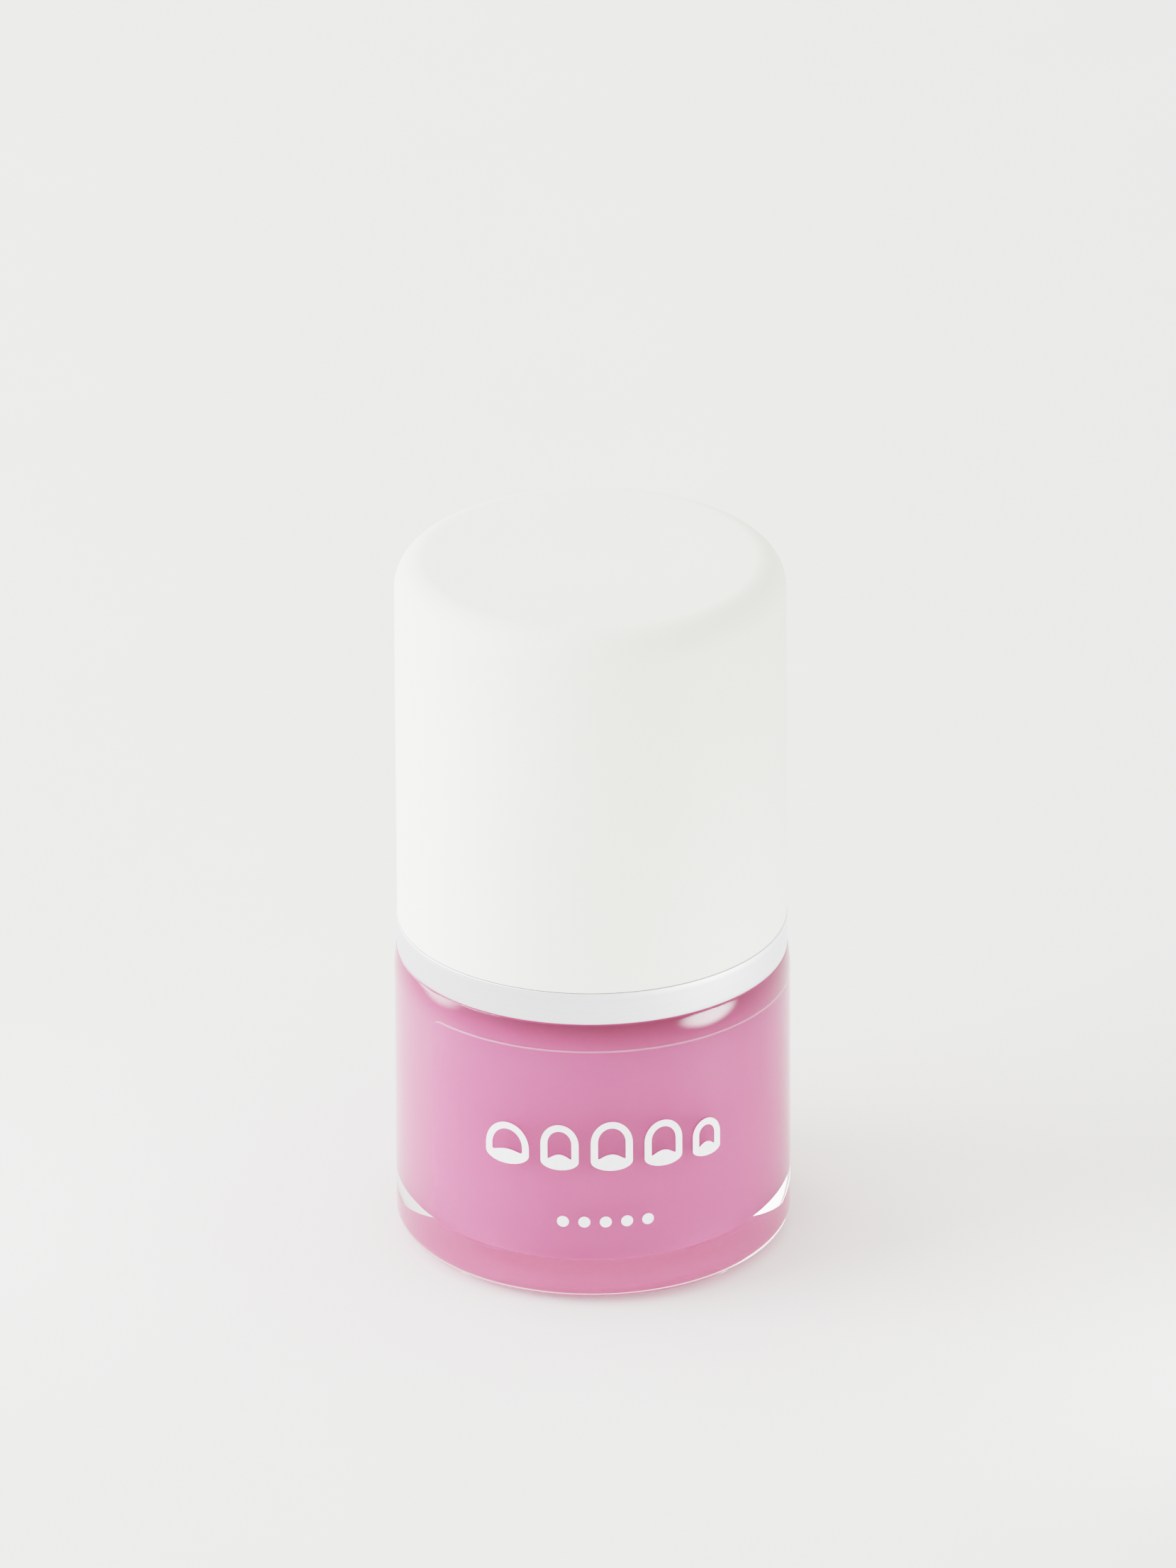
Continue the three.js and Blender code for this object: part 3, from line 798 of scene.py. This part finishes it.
def label():
    """A clear film label from just left of the front round to the back, with rounded corners."""
    start = math.radians(LABEL_START_DEG) * BOTTLE_R
    end = math.radians(LABEL_END_DEG) * BOTTLE_R
    corner = LABEL_CORNER_R
    from_start = [corner * (1 - math.cos(math.pi / 2 * k / 10)) for k in range(11)]
    middle = [start + corner + (end - start - 2 * corner) * k / 110 for k in range(1, 110)]
    places = [start + d for d in from_start] + middle + [end - d for d in reversed(from_start)]
    columns = []
    for x in places:
        short = max(0.0, 1 - min(x - start, end - x) / corner)
        cut = corner * (1 - math.sqrt(max(0.0, 1 - short**2)))
        columns.append((x, label_low.z + cut, label_high.z - cut))
    film = wrapped("clear_label", [columns], LABEL_GAP, LABEL_LIFT, bevel=LABEL_BEVEL)
    return fit(film, "bottle", "clear_film", "film_label")


def rounded_span(across, z, width, height):
    """Low and high edge of a fingernail shape, at a place across it from -1 to 1."""
    bow = math.sqrt(max(0.0, 1 - across**2))
    return z + 0.25 * width * (1 - bow), z + height - 0.575 * width * (1 - bow)


def nail_outline(x, z, width, height):
    """A fingernail drawn as a line: side strokes, a round tip, and a root with its pale half-moon."""
    inner_width = width - 2 * STROKE
    moon = 0.2 * height
    reach = inner_width / width
    left = []
    right = []
    for k in range(9):
        across = 1 - (1 - reach) * (k / 8) ** 2
        low, high = rounded_span(across * 0.9999, z, width, height)
        left.append((x - across * width / 2, low, high))
        right.append((x + across * width / 2, low, high))
    root = []
    tip = []
    for k in range(25):
        across = -math.cos(math.pi * k / 24)
        low, high = rounded_span(across * reach, z, width, height)
        inner_low, inner_high = rounded_span(
            across * 0.9999, z + STROKE, inner_width, height - 2 * STROKE
        )
        root.append((x + across * inner_width / 2, low, inner_low + moon * (1 - across**2)))
        tip.append((x + across * inner_width / 2, inner_high, high))
    return [sorted(left), sorted(right), root, tip]


def dot_columns(x, z, radius):
    """A round dot, as columns."""
    columns = []
    for k in range(17):
        across = -math.cos(math.pi * k / 16) * 0.9999
        bow = math.sqrt(1 - across**2)
        columns.append((x + radius * across, z - radius * bow, z + radius * bow))
    return columns


def printed_motif():
    """White print: a hand's five nails in a row, and a line of small dots below them."""
    x = MOTIF_MIDDLE - (sum(NAIL_WIDTHS) + NAIL_GAP * (len(NAIL_WIDTHS) - 1)) / 2
    shapes = []
    for width, height in zip(NAIL_WIDTHS, NAIL_HEIGHTS):
        shapes.extend(nail_outline(x + width / 2, NAIL_ROOT_Z, width, height))
        x += width + NAIL_GAP
    for k in range(DOTS):
        shapes.append(dot_columns(MOTIF_MIDDLE + DOT_PITCH * (k - DOTS // 2), DOT_Z, DOT_R))
    ink = wrapped("printed_motif", shapes, LABEL_LIFT + 0.002, LABEL_LIFT + 0.015)
    return fit(ink, "bottle", "soft_touch_white", material=white_ink())


glass_bottle()
polish()
mixing_balls()
outer_shell()
closure()
collar()
liner()
stem()
bristles()
label()
printed_motif()
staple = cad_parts["bristle_staple"]
staple.data.materials.clear()
staple.data.materials.append(MATERIALS["ball_steel"])


# ---------------------------------------------------------------- floor, light and camera

def floor():
    """A wide sheet of pale paper."""
    size = 6000
    half = size / 2
    corners = [(-half, -half, 0), (half, -half, 0), (half, half, 0), (-half, half, 0)]
    paper = mesh_object("paper_floor", corners, [(0, 1, 2, 3)])
    material, tree, shader = new_material("paper", Roughness=0.9, Specular_IOR_Level=0.1)
    fibre = object_noise(tree, 60, detail=5)
    colour = ramp(tree, fibre, [(0.3, (0.80, 0.80, 0.79)), (0.7, (0.815, 0.815, 0.805))])
    tree.links.new(colour, shader.inputs["Base Color"])
    paper.data.materials.append(material)


def area_light(name, place, target, size, power, colour=(1, 1, 1), spread_deg=180, soft_edge=False):
    """A rectangular light that the camera doesn't see. A soft edge fades it out towards its rim."""
    data = bpy.data.lights.new(name, "AREA")
    data.shape = "RECTANGLE"
    data.size = size[0] * MM
    data.size_y = size[1] * MM
    data.energy = power
    data.color = colour
    data.spread = math.radians(spread_deg)
    if soft_edge:
        fade_to_rim(data)
    lamp = bpy.data.objects.new(name, data)
    bpy.context.scene.collection.objects.link(lamp)
    lamp.location = Vector(place) * MM
    aim = (Vector(target) - Vector(place)).to_track_quat("-Z", "Y")
    lamp.rotation_euler = aim.to_euler()
    lamp.visible_camera = False


def fade_to_rim(data):
    """Let the light's own surface grow dim away from its middle."""
    data.use_nodes = True
    tree = data.node_tree
    emission = tree.nodes["Emission"]
    surface = tree.nodes.new("ShaderNodeNewGeometry")
    reach = tree.nodes.new("ShaderNodeVectorMath")
    reach.operation = "DISTANCE"
    reach.inputs[1].default_value = (0.5, 0.5, 0)
    fade = add_node(tree, "ShaderNodeMapRange")
    fade.interpolation_type = "SMOOTHSTEP"
    fade.inputs["From Min"].default_value = 0.52
    fade.inputs["From Max"].default_value = 0.2
    tree.links.new(surface.outputs["Parametric"], reach.inputs[0])
    tree.links.new(reach.outputs["Value"], fade.inputs["Value"])
    tree.links.new(fade.outputs["Result"], emission.inputs["Strength"])


def studio():
    """Pale surroundings, soft boxes on the left and behind it, and a small low card on each side.

    A faint pad under the jar stands in for the light that a pale table sends up through the glass base.
    """
    world = bpy.data.worlds.new("studio")
    bpy.context.scene.world = world
    world.use_nodes = True
    sky = world.node_tree.nodes["Background"]
    sky.inputs["Color"].default_value = (1.0, 0.993, 0.945, 1)
    sky.inputs["Strength"].default_value = 0.75
    middle = (0, 0, 25)
    area_light("soft_box_left", (-640, -115, 290), middle, (520, 420), 3.4, (0.98, 0.995, 1.025))
    area_light("soft_box_behind", (-560, 420, 300), middle, (420, 300), 1.3)
    low_right = (0, -10, 20)
    low_left = (0, 0, 22)
    card = {"spread_deg": 110, "soft_edge": True}  # narrow, so that no bright pool lies on the floor
    area_light("card_right", (60, -31, 11), low_right, (50, 20), 0.011, **card)
    area_light("card_left", (-75, 4, 13), low_left, (60, 24), 0.0095, **card)
    area_light("pad_below", (0, 0, 0.1), (0, 0, 20), (19, 19), 0.00075, (1, 1.12, 0.95))


def camera():
    """A long lens from in front and above, so the upright lines stay nearly parallel."""
    frame_pixels = (1659, 2212)
    focal_pixels = 27390
    radius = SHELL_R
    distance = 99.37 * radius
    pitch = math.radians(25.1)
    roll = math.radians(-0.31)
    target = Vector((-0.0167 * radius, 0, 2.4814 * radius))
    data = bpy.data.cameras.new("camera")
    data.sensor_fit = "VERTICAL"
    data.sensor_height = 36
    data.lens = data.sensor_height * focal_pixels / frame_pixels[1]
    data.clip_end = 20
    eye = bpy.data.objects.new("camera", data)
    bpy.context.scene.collection.objects.link(eye)
    back = Vector((0, -math.cos(pitch), math.sin(pitch)))
    turn = Matrix.Rotation(math.pi / 2 - pitch, 4, "X") @ Matrix.Rotation(roll, 4, "Z")
    eye.matrix_world = Matrix.Translation((target + back * distance) * MM) @ turn
    bpy.context.scene.camera = eye


floor()
studio()
camera()
look = bpy.context.scene.view_settings
look.view_transform = "Filmic"
look.look = "High Contrast"
look.exposure = 1.0
